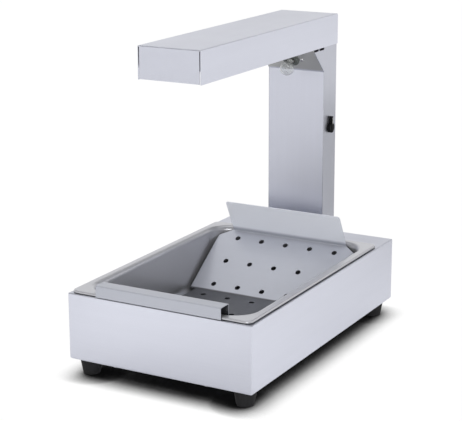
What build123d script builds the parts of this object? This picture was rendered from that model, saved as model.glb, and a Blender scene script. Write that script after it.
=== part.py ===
from build123d import *
from math import cos, radians, sin, tan
import os

os.makedirs("parts", exist_ok=True)

# Every size is in millimetres and every angle in degrees.
# The origin is on the table, below the middle of the base. The front faces -Y.

# Base casing
base_width = 345.0
base_length = 550.0
base_height = 114.0
casing_sheet = 1.2
bend_radius = 2.0
casing_flange = 15.0
floor_sheet = 1.0
floor_margin = 2.0

# Feet
foot_height = 29.0
foot_top_diameter = 39.0
foot_bottom_diameter = 29.0
foot_inset = 26.0
foot_edge_radius = 1.5
foot_recess_diameter = 13.0
foot_recess_depth = 12.0

# Fry pan
rim_side_margin = 4.5
rim_front_margin = 2.5
rim_column_gap = 1.5
rim_height = 5.0
rim_lift = 1.6
rim_corner_radius = 12.0
rim_edge_radius = 2.5
pan_flange = 18.0
pan_sheet = 1.0
pan_depth = 100.0
pan_draft_angle = 2.0
pan_corner_radius = 40.0
pan_mouth_radius = 8.0
pan_floor_radius = 15.0
well_bend_gap = 0.2
well_corner_radius = 6.0

# Drain insert
insert_sheet = 1.2
insert_bend_radius = 2.5
insert_side_gap = 8.0
insert_leg_height = 9.6
insert_leg_inset = 20.0
insert_front_cut = 18.0
ramp_corner_cut = 14.0
leg_end_gap = 28.0
hook_side_gap = 33.0
hook_height = 15.5
hook_wall_gap = 5.7
hook_lip_gap = 0.8
ramp_angle = 34.2
ramp_back_gap = 4.5
ramp_below_rim = 5.5
flap_length = 70.9
flap_lean_angle = 27.7
flap_corner_radius = 5.0
hole_diameter = 10.0
hole_columns = 5
hole_pitch_across = 50.0
hole_pitch_along = 56.5
ramp_rows = 3
ramp_first_row = 19.0
floor_rows = 4
floor_first_row = 24.0
floor_row_pitch = 75.0

# Column
column_depth = 50.5
column_rear_setback = 9.5
column_flange = 10.0
column_tongue = 40.0
haunch_size = 45.5
haunch_lip = 12.0
relief_length = 20.5
relief_width = 4.6
relief_pitch = 23.0
foot_plate_thickness = 2.0
vent_count = 6
vent_length = 56.0
vent_width = 4.0
vent_pitch = 10.0
vent_below_head = 90.0

# Head
head_width = 115.0
head_height = 54.5
head_rise = 357.5
head_front_setback = 47.5
head_rear_setback = 8.0
head_seam = 1.6
head_front_trim = 1.0
slip_gap = 0.1

# Reflector and heating element
reflector_sheet = 0.8
reflector_end_gap = 8.0
reflector_lip_start = 4.0
reflector_lip_height = 12.0
reflector_height = 42.0
reflector_top_width = 60.0
bulkhead_sheet = 1.0
element_diameter = 8.4
element_spacing = 40.0
element_height = 26.0
element_end_gap = 15.0
element_tail = 18.0
bracket_sheet = 1.5
bracket_width = 54.0
bracket_drop = 7.0
bracket_inset = 45.0
bush_diameter = 13.0
bush_flange_diameter = 18.0
bush_flange_thickness = 4.0
bush_tail = 6.0

# Lamp
lamp_hole_diameter = 18.0
lamp_ring_diameter = 32.0
lamp_ring_thickness = 3.0
lamp_screw_spacing = 44.0
holder_diameter = 26.0
holder_length = 32.0
holder_flange_width = 24.0
holder_flange_thickness = 3.0
cap_diameter = 13.8
cap_length = 23.0
cap_reach = 3.5
bulb_diameter = 26.0
bulb_centre = 20.5
bulb_taper_angle = 35.0
bulb_wall = 0.8

# Switch and knob
switch_height = 206.0
switch_size = 32.0
switch_depth = 31.0
bushing_diameter = 8.0
bushing_length = 3.2
nut_across_flats = 12.0
nut_thickness = 1.8
shaft_diameter = 5.0
shaft_depth = 10.0
knob_gap = 0.5
knob_diameter = 19.0
knob_height = 5.4
knob_recess_diameter = 15.0
knob_recess_depth = 2.4
knob_grip = 2.6
pointer_reach = 21.0
pointer_height = 6.4
pointer_width = 5.2
pointer_tip_width = 3.4
knob_edge_radius = 0.6

# Terminals, gland and leads
gland_height = 48.0
gland_bore_diameter = 8.0
gland_thread_diameter = 16.0
gland_nut_across_flats = 20.0
gland_outside = 9.0
gland_inside = 12.0
gland_locknut_thickness = 4.0
block_length = 40.0
block_width = 18.0
block_thickness = 20.0
block_height = 90.0
block_ways = 3
block_pitch = 12.0
block_entry_diameter = 5.0
block_entry_depth = 6.0
lead_diameter = 4.0
lead_bend_radius = 8.0
lead_rise = 30.0
stud_diameter = 5.0
stud_length = 13.0
stud_height = 45.0

# Fasteners
running_gap = 0.05
hole_gap = 0.2
seat_gap = 0.3
screw_diameter = 4.0
screw_head_diameter = 8.0
screw_head_height = 2.6
screw_head_taper = 15.0
screw_length = 8.0
bolt_diameter = 6.0
bolt_across_flats = 10.0
bolt_head_height = 4.0
foot_screw_diameter = 5.0
foot_screw_head_diameter = 9.5
foot_screw_head_height = 3.5
foot_nut_across_flats = 8.0
foot_nut_height = 4.0

# Levels and places that follow from the sizes above
z_base = foot_height
z_deck = z_base + base_height
z_rim = z_deck + rim_height
z_pan_floor = z_rim - pan_depth
z_head = z_deck + head_rise
y_front = -base_length / 2
y_rear = base_length / 2
column_rear = y_rear - column_rear_setback
column_front = column_rear - column_depth
column_middle = (column_front + column_rear) / 2
column_width = head_width - 2 * casing_sheet - 2 * slip_gap
column_inside = column_width / 2 - casing_sheet
head_front = y_front + head_front_setback
head_rear = y_rear - head_rear_setback
head_inside = head_width / 2 - casing_sheet
rim_front = y_front + rim_front_margin
rim_rear = column_front - rim_column_gap
rim_width = base_width - 2 * rim_side_margin
rim_length = rim_rear - rim_front
pan_middle = (rim_front + rim_rear) / 2
opening_width = rim_width - 2 * pan_flange
opening_length = rim_length - 2 * pan_flange
opening_front = rim_front + pan_flange
opening_rear = rim_rear - pan_flange
pan_draft = pan_depth * tan(radians(pan_draft_angle))


def save(piece, name):
    piece.part.label = name
    export_step(piece.part, f"parts/{name}.step")


def rounded_slab(width, length, radius, z_low, z_high):
    """Upright block with round corners, centred on the pan."""
    with BuildPart() as slab:
        with BuildSketch(Plane.XY.offset(z_low)):
            with Locations((0, pan_middle)):
                RectangleRounded(width, length, radius)
        extrude(amount=z_high - z_low)
    return slab.part


def hexagon_radius(across_flats):
    return across_flats / 2 / cos(radians(30))


# Base casing: one folded and welded box that is then parted at its mitred corners
well_gap = pan_mouth_radius - pan_sheet + well_bend_gap
well_width = opening_width + 2 * (pan_sheet + well_gap)
well_length = opening_length + 2 * (pan_sheet + well_gap)
well_lip = rim_height - pan_sheet - seat_gap
bolt_x = column_inside - bolt_across_flats
bolt_y = column_depth / 2 - bolt_across_flats - casing_sheet
floor_screw_x = base_width / 2 - casing_flange / 2
floor_screw_y = base_length / 2 - casing_flange / 2
floor_screw_places = [(x * base_width / 4, y * floor_screw_y) for x in (-1, 1) for y in (-1, 1)]
floor_screw_places += [(x * floor_screw_x, y * base_length / 4) for x in (-1, 1) for y in (-1, 1)]
foot_places = {
    "front_left": (-base_width / 2 + foot_inset, y_front + foot_inset),
    "front_right": (base_width / 2 - foot_inset, y_front + foot_inset),
    "rear_left": (-base_width / 2 + foot_inset, y_rear - foot_inset),
    "rear_right": (base_width / 2 - foot_inset, y_rear - foot_inset),
}

with BuildPart() as casing:
    with BuildSketch(Plane.XY.offset(z_base)):
        RectangleRounded(base_width, base_length, bend_radius)
    extrude(amount=base_height)
    fillet(casing.faces().sort_by(Axis.Z)[-1].edges(), bend_radius)
    fillet(casing.faces().sort_by(Axis.Z)[0].edges(), bend_radius)
    with BuildSketch(Plane.XY.offset(z_base + casing_sheet)):
        Rectangle(base_width - 2 * casing_sheet, base_length - 2 * casing_sheet)
    extrude(amount=base_height - 2 * casing_sheet, mode=Mode.SUBTRACT)
    add(
        rounded_slab(
            well_width + 2 * casing_sheet,
            well_length + 2 * casing_sheet,
            well_corner_radius + casing_sheet,
            z_deck - casing_sheet,
            z_deck + well_lip,
        )
    )
    add(
        rounded_slab(well_width, well_length, well_corner_radius, z_deck - casing_sheet, z_rim),
        mode=Mode.SUBTRACT,
    )
    with BuildSketch(Plane.XY.offset(z_base)):
        Rectangle(base_width - 2 * casing_flange, base_length - 2 * casing_flange)
        with Locations(*floor_screw_places):
            Circle(screw_diameter / 2 + hole_gap)
    extrude(amount=casing_sheet, mode=Mode.SUBTRACT)
    with BuildSketch(Plane.XY.offset(z_deck - casing_sheet)):
        with Locations((0, column_middle)):
            with GridLocations(2 * bolt_x, 2 * bolt_y, 2, 2):
                Circle(bolt_diameter / 2 + hole_gap)
    extrude(amount=casing_sheet, mode=Mode.SUBTRACT)

side_ledge = (base_width - well_width) / 2
front_ledge = opening_front - pan_sheet - well_gap - y_front
mitre = max(side_ledge, front_ledge, casing_flange) + casing_sheet
left, right = -base_width / 2, base_width / 2
panel_outlines = {
    "base_front_panel": [
        (left, y_front),
        (right, y_front),
        (right - mitre, y_front + mitre),
        (left + mitre, y_front + mitre),
    ],
    "base_left_panel": [
        (left, y_front),
        (left + mitre, y_front + mitre),
        (left + mitre, y_rear - mitre),
        (left, y_rear),
    ],
    "base_right_panel": [
        (right, y_front),
        (right - mitre, y_front + mitre),
        (right - mitre, y_rear - mitre),
        (right, y_rear),
    ],
    "base_rear_panel": [
        (left, y_rear),
        (right, y_rear),
        (right - mitre, y_rear - mitre),
        (right - mitre, pan_middle),
        (left + mitre, pan_middle),
        (left + mitre, y_rear - mitre),
    ],
}
for name, outline in panel_outlines.items():
    with BuildPart() as base_panel:
        add(casing.part)
        with BuildSketch(Plane.XY.offset(z_base)):
            Polygon(*outline, align=None)
        extrude(amount=base_height + rim_height, mode=Mode.INTERSECT)
    save(base_panel, name)

# Floor plate below the casing's flanges
with BuildPart() as base_floor:
    with BuildSketch(Plane.XY.offset(z_base - floor_sheet)):
        RectangleRounded(base_width - 2 * floor_margin, base_length - 2 * floor_margin, bend_radius)
        with Locations(*floor_screw_places):
            Circle(screw_diameter / 2 + hole_gap, mode=Mode.SUBTRACT)
        with Locations(*foot_places.values()):
            Circle(foot_screw_diameter / 2 + hole_gap, mode=Mode.SUBTRACT)
    extrude(amount=floor_sheet)
save(base_floor, "base_floor")

with BuildPart() as floor_screws:
    with BuildSketch(Plane.XY.offset(z_base - floor_sheet)):
        with Locations(*floor_screw_places):
            Circle(screw_head_diameter / 2)
    extrude(amount=-screw_head_height)
    fillet(floor_screws.faces().group_by(Axis.Z)[0].edges(), screw_head_height / 3)
    with BuildSketch(Plane.XY.offset(z_base - floor_sheet)):
        with Locations(*floor_screw_places):
            Circle(screw_diameter / 2)
    extrude(amount=screw_length)
save(floor_screws, "floor_screws")

# Rubber feet, each with a screw up through it and a nut inside the base
foot_body = foot_height - floor_sheet
for corner, place in foot_places.items():
    with BuildPart() as foot:
        with Locations((*place, foot_body / 2)):
            Cone(foot_bottom_diameter / 2, foot_top_diameter / 2, foot_body)
        fillet(foot.faces().sort_by(Axis.Z)[0].edges(), foot_edge_radius)
        with BuildSketch():
            with Locations(place):
                Circle(foot_recess_diameter / 2)
        extrude(amount=foot_recess_depth, mode=Mode.SUBTRACT)
        with BuildSketch():
            with Locations(place):
                Circle(foot_screw_diameter / 2 + hole_gap)
        extrude(amount=foot_body, mode=Mode.SUBTRACT)
    save(foot, f"foot_{corner}")

with BuildPart() as foot_screws:
    with BuildSketch(Plane.XY.offset(foot_recess_depth)):
        with Locations(*foot_places.values()):
            Circle(foot_screw_head_diameter / 2)
    extrude(amount=-foot_screw_head_height)
    with BuildSketch(Plane.XY.offset(foot_recess_depth)):
        with Locations(*foot_places.values()):
            Circle(foot_screw_diameter / 2)
    extrude(amount=z_base - foot_recess_depth + 2 * foot_nut_height)
save(foot_screws, "foot_screws")

with BuildPart() as foot_nuts:
    with BuildSketch(Plane.XY.offset(z_base)):
        with Locations(*foot_places.values()):
            RegularPolygon(hexagon_radius(foot_nut_across_flats), 6)
            Circle(foot_screw_diameter / 2 + running_gap, mode=Mode.SUBTRACT)
    extrude(amount=foot_nut_height)
save(foot_nuts, "foot_nuts")


# Fry pan: drawn sheet with tapered walls, a round floor edge and a rim that is turned down outside
def pan_bowl(grow, floor_radius, z_floor, z_mouth):
    """Tapered bowl, wider than the clear opening by grow on each side."""
    with BuildPart() as bowl:
        for z in (z_floor, z_mouth):
            inset = (z_rim - z) / pan_depth * pan_draft - grow
            with BuildSketch(Plane.XY.offset(z)):
                with Locations((0, pan_middle)):
                    RectangleRounded(
                        opening_width - 2 * inset,
                        opening_length - 2 * inset,
                        pan_corner_radius - inset,
                    )
        loft(ruled=True)
        fillet(bowl.faces().sort_by(Axis.Z)[0].edges(), floor_radius)
    return bowl.part


bowl_outside = pan_bowl(pan_sheet, pan_floor_radius + pan_sheet, z_pan_floor - pan_sheet, z_rim - pan_sheet)
bowl_inside = pan_bowl(0, pan_floor_radius, z_pan_floor, z_rim)
z_lip = z_deck + rim_lift
z_bend = z_rim - pan_mouth_radius - pan_sheet

with BuildPart() as rim_hollow:
    add(
        rounded_slab(
            rim_width - 2 * pan_sheet,
            rim_length - 2 * pan_sheet,
            rim_corner_radius - pan_sheet,
            z_bend,
            z_rim - pan_sheet,
        )
    )
    fillet(rim_hollow.faces().sort_by(Axis.Z)[-1].edges(), rim_edge_radius - pan_sheet)
    add(bowl_outside, mode=Mode.SUBTRACT)
    fillet(rim_hollow.faces().sort_by(Axis.Z)[-1].inner_wires()[0].edges(), pan_mouth_radius - pan_sheet)

with BuildPart() as lip_trim:
    add(rounded_slab(rim_width, rim_length, rim_corner_radius, z_bend, z_lip))
    add(
        rounded_slab(
            rim_width - 3 * pan_sheet,
            rim_length - 3 * pan_sheet,
            rim_corner_radius - 3 * pan_sheet / 2,
            z_bend,
            z_lip,
        ),
        mode=Mode.SUBTRACT,
    )

with BuildPart() as fry_pan:
    add(rounded_slab(rim_width, rim_length, rim_corner_radius, z_bend, z_rim))
    fillet(fry_pan.faces().sort_by(Axis.Z)[-1].edges(), rim_edge_radius)
    add(rim_hollow.part, mode=Mode.SUBTRACT)
    add(lip_trim.part, mode=Mode.SUBTRACT)
    add(bowl_outside)
    add(bowl_inside, mode=Mode.SUBTRACT)
    fillet(fry_pan.faces().sort_by(Axis.Z)[-1].inner_wires()[0].edges(), pan_mouth_radius)
save(fry_pan, "fry_pan")

# Drain insert: one bent sheet, hook, front wall, floor on two turned-down legs, ramp and flap
ramp_width = opening_width - 2 * insert_side_gap
floor_width = opening_width - 2 * insert_leg_inset
hook_width = opening_width - 2 * hook_side_gap
z_leg = z_pan_floor + seat_gap
z_insert = z_leg + insert_leg_height + insert_sheet
z_hook = z_rim + hook_height
z_fold = z_rim - ramp_below_rim
y_wall = opening_front + hook_wall_gap
y_fold = opening_rear - ramp_back_gap
y_toe = y_fold - (z_fold - z_insert) / tan(radians(ramp_angle))
y_flap = y_fold - flap_length * sin(radians(flap_lean_angle))
z_flap = z_fold + flap_length * cos(radians(flap_lean_angle))
flap_top = z_flap + insert_sheet * sin(radians(flap_lean_angle))
ramp_plane = Plane(
    origin=(0, y_fold, z_fold),
    x_dir=(1, 0, 0),
    z_dir=(0, -sin(radians(ramp_angle)), cos(radians(ramp_angle))),
)
right_edge = [
    (hook_width / 2, y_front),
    (hook_width / 2, y_wall),
    (floor_width / 2, y_wall + insert_front_cut),
    (floor_width / 2, y_toe),
    (ramp_width / 2, y_toe),
    (ramp_width / 2, y_fold - ramp_corner_cut),
    (hook_width / 2, y_fold),
]
left_edge = [(-x, y) for x, y in reversed(right_edge)]

with BuildPart() as insert_outline:
    with BuildSketch(Plane.XY.offset(z_leg)):
        Polygon(*right_edge, *left_edge, align=None)
    extrude(amount=z_fold - z_leg)
    with BuildSketch(Plane.XZ.offset(-y_front)):
        with Locations((0, (z_leg + flap_top) / 2)):
            RectangleRounded(hook_width, flap_top - z_leg, flap_corner_radius)
    extrude(amount=-base_length)

with BuildPart() as drain_insert:
    with BuildSketch(Plane.YZ):
        with BuildLine():
            FilletPolyline(
                (y_front, z_deck + hook_lip_gap),
                (y_front, z_hook),
                (y_wall, z_hook),
                (y_wall, z_insert),
                (y_toe, z_insert),
                (y_fold, z_fold),
                (y_flap, z_flap),
                radius=insert_bend_radius,
            )
            offset(amount=insert_sheet, side=Side.RIGHT)
        make_face()
    extrude(amount=ramp_width / 2, both=True)
    add(insert_outline.part, mode=Mode.INTERSECT)
    for side in (-1, 1):
        with BuildSketch(Plane.XY.offset(z_leg)):
            with Locations((side * (floor_width - insert_sheet) / 2, (y_wall + leg_end_gap + y_toe) / 2)):
                Rectangle(insert_sheet, y_toe - y_wall - 2 * leg_end_gap)
        extrude(amount=insert_leg_height)
    with BuildSketch(Plane.XY.offset(z_insert)):
        for row in range(floor_rows):
            with Locations((0, y_toe - floor_first_row - row * floor_row_pitch)):
                with GridLocations(hole_pitch_across, 0, hole_columns, 1):
                    Circle(hole_diameter / 2)
    extrude(amount=-insert_sheet, mode=Mode.SUBTRACT)
    with BuildSketch(ramp_plane):
        for row in range(ramp_rows):
            with Locations((0, -ramp_first_row - row * hole_pitch_along)):
                with GridLocations(hole_pitch_across, 0, hole_columns, 1):
                    Circle(hole_diameter / 2)
    extrude(amount=-insert_sheet, mode=Mode.SUBTRACT)
save(drain_insert, "drain_insert")

# Column: two side panels, a front panel with the haunch and a screwed rear cover
z_switch = z_deck + switch_height
z_gland = z_deck + gland_height
haunch_front = column_front - haunch_size
column_top = z_head + column_tongue
cover_screw_x = column_inside - column_flange / 2
cover_screw_levels = [z_deck + 2 * column_flange, (z_deck + z_head) / 2, z_head - 2 * column_flange]
cover_screw_places = [(x, z) for x in (-cover_screw_x, cover_screw_x) for z in cover_screw_levels]
head_screw_levels = [z_head + column_tongue / 4, z_head + 3 * column_tongue / 4]
head_screw_places = [(x, z) for x in (-column_inside / 2, column_inside / 2) for z in head_screw_levels]
column_outline = [
    (column_front, z_deck),
    (column_front, z_head - haunch_size),
    (haunch_front, z_head),
    (haunch_front, column_top),
    (column_rear, column_top),
    (column_rear, z_deck),
]
relief_middle = column_front - haunch_size / 2
relief_level = z_head - relief_width / 2
relief_places = [(relief_middle + side * relief_pitch / 2, relief_level) for side in (-1, 1)]
lamp_plane = Plane(
    origin=(0, column_front - haunch_size / 2, z_head - haunch_size / 2),
    x_dir=(1, 0, 0),
    z_dir=(0, -1, -1),
)


def facing_rear(y):
    """Upright plane across the column that looks to the rear."""
    return Plane((0, y, 0), x_dir=(-1, 0, 0), z_dir=(0, 1, 0))


def screw_row(seat, places):
    """Pan-head screws on a plane, heads outside and shanks inwards."""
    with BuildPart() as screws:
        with BuildSketch(seat):
            with Locations(*places):
                Circle(screw_head_diameter / 2)
        extrude(amount=screw_head_height, taper=screw_head_taper)
        with BuildSketch(seat):
            with Locations(*places):
                Circle(screw_diameter / 2)
        extrude(amount=-screw_length)
    return screws


for name, side in (("column_left_panel", -1), ("column_right_panel", 1)):
    with BuildPart() as column_side:
        with BuildSketch(Plane.YZ.offset(side * column_inside)):
            Polygon(*column_outline, align=None)
            with Locations(*relief_places):
                SlotOverall(relief_length, relief_width, mode=Mode.SUBTRACT)
            if side > 0:
                with Locations((column_middle, z_switch)):
                    Circle(bushing_diameter / 2 + hole_gap, mode=Mode.SUBTRACT)
        extrude(amount=side * casing_sheet)
        with BuildSketch(Plane.XZ.offset(casing_sheet - column_rear)):
            with Locations((side * cover_screw_x, (z_deck + foot_plate_thickness + z_head) / 2)):
                Rectangle(column_flange, head_rise - foot_plate_thickness)
            with Locations(*[(x, z) for x, z in cover_screw_places if x * side > 0]):
                Circle(screw_diameter / 2 + running_gap, mode=Mode.SUBTRACT)
        extrude(amount=casing_sheet)
    save(column_side, name)

with BuildPart() as column_front_panel:
    with BuildSketch(Plane.YZ):
        with BuildLine():
            FilletPolyline(
                (column_front, z_deck),
                (column_front, z_head - haunch_size),
                (haunch_front, z_head),
                (haunch_front, z_head + haunch_lip),
                radius=bend_radius,
            )
            offset(amount=casing_sheet, side=Side.RIGHT)
        make_face()
    extrude(amount=column_inside, both=True)
    with BuildSketch(lamp_plane):
        Circle(lamp_hole_diameter / 2)
        with GridLocations(lamp_screw_spacing, 0, 2, 1):
            Circle(screw_diameter / 2 + hole_gap)
    extrude(amount=-casing_sheet, mode=Mode.SUBTRACT)
save(column_front_panel, "column_front_panel")

rear_plane = Plane.XZ.offset(-column_rear)
with BuildPart() as column_rear_cover:
    with BuildSketch(rear_plane):
        with Locations((0, (z_deck + column_top) / 2)):
            Rectangle(2 * column_inside, column_top - z_deck)
        with Locations(*cover_screw_places, *head_screw_places):
            Circle(screw_diameter / 2 + hole_gap, mode=Mode.SUBTRACT)
        with Locations((0, z_gland)):
            Circle(gland_thread_diameter / 2 + hole_gap, mode=Mode.SUBTRACT)
        with Locations((0, z_head - vent_below_head)):
            with GridLocations(0, vent_pitch, 1, vent_count):
                SlotOverall(vent_length, vent_width, mode=Mode.SUBTRACT)
    extrude(amount=casing_sheet)
save(column_rear_cover, "column_rear_cover")

rear_cover_screws = screw_row(facing_rear(column_rear), cover_screw_places)
save(rear_cover_screws, "rear_cover_screws")

with BuildPart() as column_foot_plate:
    plate_front = column_front + casing_sheet
    plate_rear = column_rear - 2 * casing_sheet
    with BuildSketch(Plane.XY.offset(z_deck)):
        with Locations((0, (plate_front + plate_rear) / 2)):
            Rectangle(2 * column_inside, plate_rear - plate_front)
        with Locations((0, column_middle)):
            with GridLocations(2 * bolt_x, 2 * bolt_y, 2, 2):
                Circle(bolt_diameter / 2 + hole_gap, mode=Mode.SUBTRACT)
    extrude(amount=foot_plate_thickness)
save(column_foot_plate, "column_foot_plate")

with BuildPart() as column_bolts:
    with BuildSketch(Plane.XY.offset(z_deck + foot_plate_thickness)):
        with Locations((0, column_middle)):
            with GridLocations(2 * bolt_x, 2 * bolt_y, 2, 2):
                RegularPolygon(hexagon_radius(bolt_across_flats), 6)
    extrude(amount=bolt_head_height)
    with BuildSketch(Plane.XY.offset(z_deck + foot_plate_thickness)):
        with Locations((0, column_middle)):
            with GridLocations(2 * bolt_x, 2 * bolt_y, 2, 2):
                Circle(bolt_diameter / 2)
    extrude(amount=-(foot_plate_thickness + casing_sheet + 2 * bolt_head_height))
save(column_bolts, "column_bolts")

with BuildPart() as column_nuts:
    with BuildSketch(Plane.XY.offset(z_deck - casing_sheet)):
        with Locations((0, column_middle)):
            with GridLocations(2 * bolt_x, 2 * bolt_y, 2, 2):
                RegularPolygon(hexagon_radius(bolt_across_flats), 6)
                Circle(bolt_diameter / 2 + running_gap, mode=Mode.SUBTRACT)
    extrude(amount=-bolt_head_height)
save(column_nuts, "column_nuts")

# Head: a folded tray, open below, with open seams at its four corners
head_middle = (head_front + head_rear) / 2
head_length = head_rear - head_front
seam_x = head_inside - head_seam / 2
with BuildPart() as head_shell:
    with BuildSketch(Plane.XY.offset(z_head)):
        with Locations((0, head_middle)):
            Rectangle(head_width, head_length)
    extrude(amount=head_height)
    fillet(head_shell.faces().sort_by(Axis.Z)[-1].edges(), bend_radius)
    with BuildSketch(Plane.XY.offset(z_head)):
        with Locations((0, head_middle)):
            Rectangle(2 * head_inside, head_length - 2 * casing_sheet)
            with GridLocations(2 * seam_x, 0, 2, 1):
                Rectangle(head_seam, head_length)
    extrude(amount=head_height - bend_radius, mode=Mode.SUBTRACT)
    with BuildSketch(Plane.XY.offset(z_head)):
        with Locations((0, head_middle)):
            Rectangle(2 * head_inside, head_length - 2 * casing_sheet)
    extrude(amount=head_height - casing_sheet, mode=Mode.SUBTRACT)
    with BuildSketch(Plane.XY.offset(z_head)):
        with Locations((0, head_middle)):
            Rectangle(2 * head_inside, head_length)
    extrude(amount=head_front_trim, mode=Mode.SUBTRACT)
    with BuildSketch(Plane.XZ.offset(-head_rear)):
        with Locations(*head_screw_places):
            Circle(screw_diameter / 2 + hole_gap)
    extrude(amount=casing_sheet, mode=Mode.SUBTRACT)
save(head_shell, "head_shell")

head_screws = screw_row(facing_rear(head_rear), head_screw_places)
save(head_screws, "head_screws")

# Bulkhead between the heated bay of the head and the column
bulkhead_front = haunch_front - bulkhead_sheet
z_element = z_head + element_height
with BuildPart() as head_bulkhead:
    with BuildSketch(Plane.XZ.offset(-haunch_front)):
        with Locations((0, z_head + (head_height - casing_sheet - slip_gap) / 2)):
            Rectangle(2 * (head_inside - slip_gap), head_height - casing_sheet - slip_gap)
        with Locations((0, z_element)):
            with GridLocations(element_spacing, 0, 2, 1):
                Circle(bush_diameter / 2 + running_gap, mode=Mode.SUBTRACT)
    extrude(amount=bulkhead_sheet)
save(head_bulkhead, "head_bulkhead")

# Reflector: a trough of bright sheet that opens downwards
reflector_front = head_front + reflector_end_gap
reflector_rear = bulkhead_front - seat_gap
reflector_side = head_inside - slip_gap
with BuildPart() as reflector:
    with BuildSketch(Plane.XZ.offset(-reflector_rear)):
        with BuildLine():
            FilletPolyline(
                (-reflector_side, z_head + reflector_lip_start),
                (-reflector_side, z_head + reflector_lip_start + reflector_lip_height),
                (-reflector_top_width / 2, z_head + reflector_height),
                (reflector_top_width / 2, z_head + reflector_height),
                (reflector_side, z_head + reflector_lip_start + reflector_lip_height),
                (reflector_side, z_head + reflector_lip_start),
                radius=bend_radius,
            )
            offset(amount=reflector_sheet, side=Side.RIGHT)
        make_face()
    extrude(amount=reflector_rear - reflector_front)
save(reflector, "reflector")

# Heating element: a sheathed rod bent to a hairpin, held by two brackets and two ceramic bushes
hairpin = element_spacing / 2
element_bend = reflector_front + element_end_gap + hairpin
element_rear = haunch_front + element_tail
with BuildPart() as heating_element:
    with BuildLine(Plane.XY.offset(z_element)) as element_path:
        left_leg = Line((-hairpin, element_rear), (-hairpin, element_bend))
        hairpin_bend = ThreePointArc(left_leg @ 1, (0, element_bend - hairpin), (hairpin, element_bend))
        Line(hairpin_bend @ 1, (hairpin, element_rear))
    with BuildSketch(Plane.XZ.offset(-element_rear)):
        with Locations((-hairpin, z_element)):
            Circle(element_diameter / 2)
    sweep(path=element_path.line)
save(heating_element, "heating_element")

z_reflector = z_head + reflector_height - reflector_sheet
z_bracket = z_element - bracket_drop
bracket_places = {
    "element_bracket_front": element_bend + bracket_inset,
    "element_bracket_rear": bulkhead_front - bracket_inset,
}
for name, y in bracket_places.items():
    with BuildPart() as element_bracket:
        with BuildSketch(Plane.XZ.offset(-y)):
            with Locations((0, (z_bracket + z_reflector) / 2)):
                Rectangle(bracket_width, z_reflector - z_bracket)
            with Locations((0, z_element)):
                with GridLocations(element_spacing, 0, 2, 1):
                    Circle(element_diameter / 2 + running_gap, mode=Mode.SUBTRACT)
        extrude(amount=bracket_sheet)
    save(element_bracket, name)

with BuildPart() as element_bushes:
    for y, diameter, length in (
        (bulkhead_front, bush_flange_diameter, bush_flange_thickness),
        (haunch_front + bush_tail, bush_diameter, bulkhead_sheet + bush_tail),
    ):
        with BuildSketch(Plane.XZ.offset(-y)):
            with Locations((0, z_element)):
                with GridLocations(element_spacing, 0, 2, 1):
                    Circle(diameter / 2)
                    Circle(element_diameter / 2 + running_gap, mode=Mode.SUBTRACT)
        extrude(amount=length)
save(element_bushes, "element_bushes")

# Lamp square to the haunch: ring outside, holder inside, screw cap and glass bulb
with BuildPart() as lamp_ring:
    with BuildSketch(lamp_plane):
        Circle(lamp_ring_diameter / 2)
        Circle(lamp_hole_diameter / 2, mode=Mode.SUBTRACT)
    extrude(amount=lamp_ring_thickness)
    ring_face = lamp_ring.faces().sort_by(Axis(lamp_plane.origin, lamp_plane.z_dir))[-1]
    fillet(ring_face.outer_wire().edges(), lamp_ring_thickness / 3)
save(lamp_ring, "lamp_ring")

lamp_screws = screw_row(lamp_plane, [(-lamp_screw_spacing / 2, 0), (lamp_screw_spacing / 2, 0)])
save(lamp_screws, "lamp_screws")

with BuildPart() as lamp_holder:
    with BuildSketch(lamp_plane.offset(-casing_sheet)):
        SlotCenterToCenter(lamp_screw_spacing, holder_flange_width)
        with GridLocations(lamp_screw_spacing, 0, 2, 1):
            Circle(screw_diameter / 2 + running_gap, mode=Mode.SUBTRACT)
    extrude(amount=-holder_flange_thickness)
    with BuildSketch(lamp_plane.offset(-casing_sheet)):
        Circle(holder_diameter / 2)
    extrude(amount=-holder_length)
    with BuildSketch(lamp_plane.offset(-casing_sheet)):
        Circle(cap_diameter / 2 + hole_gap)
    extrude(amount=-(cap_length - cap_reach), mode=Mode.SUBTRACT)
save(lamp_holder, "lamp_holder")

with BuildPart() as lamp_cap:
    with BuildSketch(lamp_plane.offset(cap_reach)):
        Circle(cap_diameter / 2)
    extrude(amount=-cap_length)
save(lamp_cap, "lamp_cap")

neck_radius = cap_diameter / 2 - bulb_wall
bulb_radius = bulb_diameter / 2
taper_radius = bulb_radius * cos(radians(bulb_taper_angle))
taper_start = bulb_centre - bulb_radius * sin(radians(bulb_taper_angle))
taper_end = taper_start - (taper_radius - neck_radius) / tan(radians(bulb_taper_angle))
with BuildPart() as lamp_bulb:
    with BuildSketch(Plane(lamp_plane.origin, x_dir=(1, 0, 0), z_dir=(0, 1, -1))):
        with BuildLine():
            Polyline((neck_radius, cap_reach), (neck_radius, taper_end), (taper_radius, taper_start))
            bulb_tip = bulb_centre + bulb_radius
            ThreePointArc((taper_radius, taper_start), (bulb_radius, bulb_centre), (0, bulb_tip))
            offset(amount=bulb_wall, side=Side.LEFT)
        make_face()
    revolve(axis=Axis(lamp_plane.origin, lamp_plane.z_dir))
save(lamp_bulb, "lamp_bulb")

# Rotary switch behind the right panel, with its nut, shaft and pointer knob
switch_middle = (column_middle, z_switch)
column_side_x = column_width / 2
bushing_end = column_inside + bushing_length
knob_base = column_side_x + knob_gap
recess_end = knob_base + knob_recess_depth
shaft_start = column_inside - shaft_depth

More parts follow.
